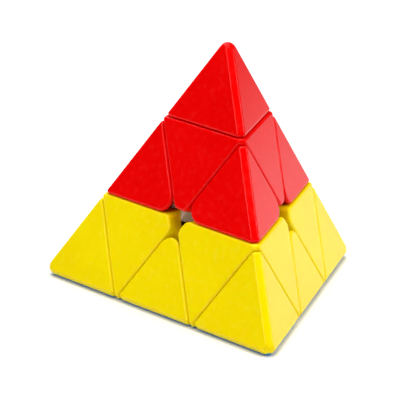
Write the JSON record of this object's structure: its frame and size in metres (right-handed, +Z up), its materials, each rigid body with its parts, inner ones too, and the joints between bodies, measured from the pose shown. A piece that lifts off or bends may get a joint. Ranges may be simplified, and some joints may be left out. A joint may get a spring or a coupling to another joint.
{
  "type": "pyramid twisty puzzle",
  "caption": "Hand-held tetrahedral turning puzzle: tips, corner blocks and edge pieces in bright stickerless plastic round a sprung core, flat underside.",
  "frame": {"origin": "centre of the core, where the four turning axes meet", "axes": "+Z up through the top corner, -Y towards the front corner of the base, which is parallel to the XY plane"},
  "size_m": [0.0916, 0.0802, 0.0756],
  "materials": {
    "red_plastic": "smooth moulded plastic with a soft gloss, bright red",
    "yellow_plastic": "smooth moulded plastic with a soft gloss, bright yellow",
    "blue_plastic": "smooth moulded plastic with a soft gloss, blue",
    "white_plastic": "plain moulded plastic, off-white",
    "brass": "turned brass",
    "steel": "zinc-plated steel",
    "spring_steel": "bright drawn spring wire"
  },
  "bodies": {
    "core_group": {"core": "white_plastic", "insert_top": "brass", "screw_top": "steel", "washer_top": "steel", "spring_top": "spring_steel", "insert_front": "brass", "screw_front": "steel", "washer_front": "steel", "spring_front": "spring_steel", "insert_right": "brass", "screw_right": "steel", "washer_right": "steel", "spring_right": "spring_steel", "insert_left": "brass", "screw_left": "steel", "washer_left": "steel", "spring_left": "spring_steel"},
    "top_corner": {"corner_shell_top": "red_plastic", "corner_stem_top": "red_plastic"},
    "top_tip": {"tip_shell_top": "red_plastic", "tip_plug_top": "red_plastic"},
    "front_corner": {"corner_shell_front": "yellow_plastic", "corner_stem_front": "yellow_plastic", "corner_base_front": "blue_plastic"},
    "front_tip": {"tip_shell_front": "yellow_plastic", "tip_plug_front": "yellow_plastic", "tip_base_front": "blue_plastic"},
    "right_corner": {"corner_shell_right": "yellow_plastic", "corner_stem_right": "yellow_plastic", "corner_base_right": "blue_plastic"},
    "right_tip": {"tip_shell_right": "yellow_plastic", "tip_plug_right": "yellow_plastic", "tip_base_right": "blue_plastic"},
    "left_corner": {"corner_shell_left": "yellow_plastic", "corner_stem_left": "yellow_plastic", "corner_base_left": "blue_plastic"},
    "left_tip": {"tip_shell_left": "yellow_plastic", "tip_plug_left": "yellow_plastic", "tip_base_left": "blue_plastic"},
    "top_left_edge": {"edge_shell_top_left": "red_plastic", "edge_anchor_top_left": "white_plastic"},
    "top_front_edge": {"edge_shell_top_front": "red_plastic", "edge_anchor_top_front": "white_plastic"},
    "top_right_edge": {"edge_shell_top_right": "red_plastic", "edge_anchor_top_right": "white_plastic"},
    "left_front_edge": {"edge_shell_left_front": "yellow_plastic", "edge_anchor_left_front": "white_plastic", "edge_base_left_front": "blue_plastic"},
    "front_right_edge": {"edge_shell_front_right": "yellow_plastic", "edge_anchor_front_right": "white_plastic", "edge_base_front_right": "blue_plastic"},
    "right_left_edge": {"edge_shell_right_left": "yellow_plastic", "edge_anchor_right_left": "white_plastic", "edge_base_right_left": "blue_plastic"}
  },
  "joints": [
    {"name": "turn_top", "type": "hinge", "parent": "core_group", "child": "top_corner", "pos_m": [0, 0, 0], "axis": [0, 0, 1], "range_deg": [-240, 120]},
    {"name": "turn_front", "type": "hinge", "parent": "core_group", "child": "front_corner", "pos_m": [0, 0, 0], "axis": [0, -0.9428, -0.3333], "range_deg": [-240, 120]},
    {"name": "turn_right", "type": "hinge", "parent": "core_group", "child": "right_corner", "pos_m": [0, 0, 0], "axis": [0.8165, 0.4714, -0.3333], "range_deg": [-240, 120]},
    {"name": "turn_left", "type": "hinge", "parent": "core_group", "child": "left_corner", "pos_m": [0, 0, 0], "axis": [-0.8165, 0.4714, -0.3333], "range_deg": [-240, 120]},
    {"name": "turn_tip_top", "type": "hinge", "parent": "top_corner", "child": "top_tip", "pos_m": [0, 0, 0], "axis": [0, 0, 1], "continuous": true},
    {"name": "turn_tip_front", "type": "hinge", "parent": "front_corner", "child": "front_tip", "pos_m": [0, 0, 0], "axis": [0, -0.9428, -0.3333], "continuous": true},
    {"name": "turn_tip_right", "type": "hinge", "parent": "right_corner", "child": "right_tip", "pos_m": [0, 0, 0], "axis": [0.8165, 0.4714, -0.3333], "continuous": true},
    {"name": "turn_tip_left", "type": "hinge", "parent": "left_corner", "child": "left_tip", "pos_m": [0, 0, 0], "axis": [-0.8165, 0.4714, -0.3333], "continuous": true},
    {"name": "edge_top_left_with_left", "type": "hinge", "parent": "top_corner", "child": "top_left_edge", "pos_m": [0, 0, 0], "axis": [-0.8165, 0.4714, -0.3333], "range_deg": [-240, 120]},
    {"name": "edge_top_front_with_front", "type": "hinge", "parent": "top_corner", "child": "top_front_edge", "pos_m": [0, 0, 0], "axis": [0, -0.9428, -0.3333], "range_deg": [-240, 120]},
    {"name": "edge_top_right_with_right", "type": "hinge", "parent": "top_corner", "child": "top_right_edge", "pos_m": [0, 0, 0], "axis": [0.8165, 0.4714, -0.3333], "range_deg": [-240, 120]},
    {"name": "edge_left_front_with_front", "type": "hinge", "parent": "left_corner", "child": "left_front_edge", "pos_m": [0, 0, 0], "axis": [0, -0.9428, -0.3333], "range_deg": [-240, 120]},
    {"name": "edge_front_right_with_right", "type": "hinge", "parent": "front_corner", "child": "front_right_edge", "pos_m": [0, 0, 0], "axis": [0.8165, 0.4714, -0.3333], "range_deg": [-240, 120]},
    {"name": "edge_right_left_with_left", "type": "hinge", "parent": "right_corner", "child": "right_left_edge", "pos_m": [0, 0, 0], "axis": [-0.8165, 0.4714, -0.3333], "range_deg": [-240, 120]}
  ],
  "couplings": [
    {"joint": "edge_top_left_with_left", "follows": "turn_left", "ratio": 1},
    {"joint": "edge_top_front_with_front", "follows": "turn_front", "ratio": 1},
    {"joint": "edge_top_right_with_right", "follows": "turn_right", "ratio": 1},
    {"joint": "edge_left_front_with_front", "follows": "turn_front", "ratio": 1},
    {"joint": "edge_front_right_with_right", "follows": "turn_right", "ratio": 1},
    {"joint": "edge_right_left_with_left", "follows": "turn_left", "ratio": 1}
  ]
}
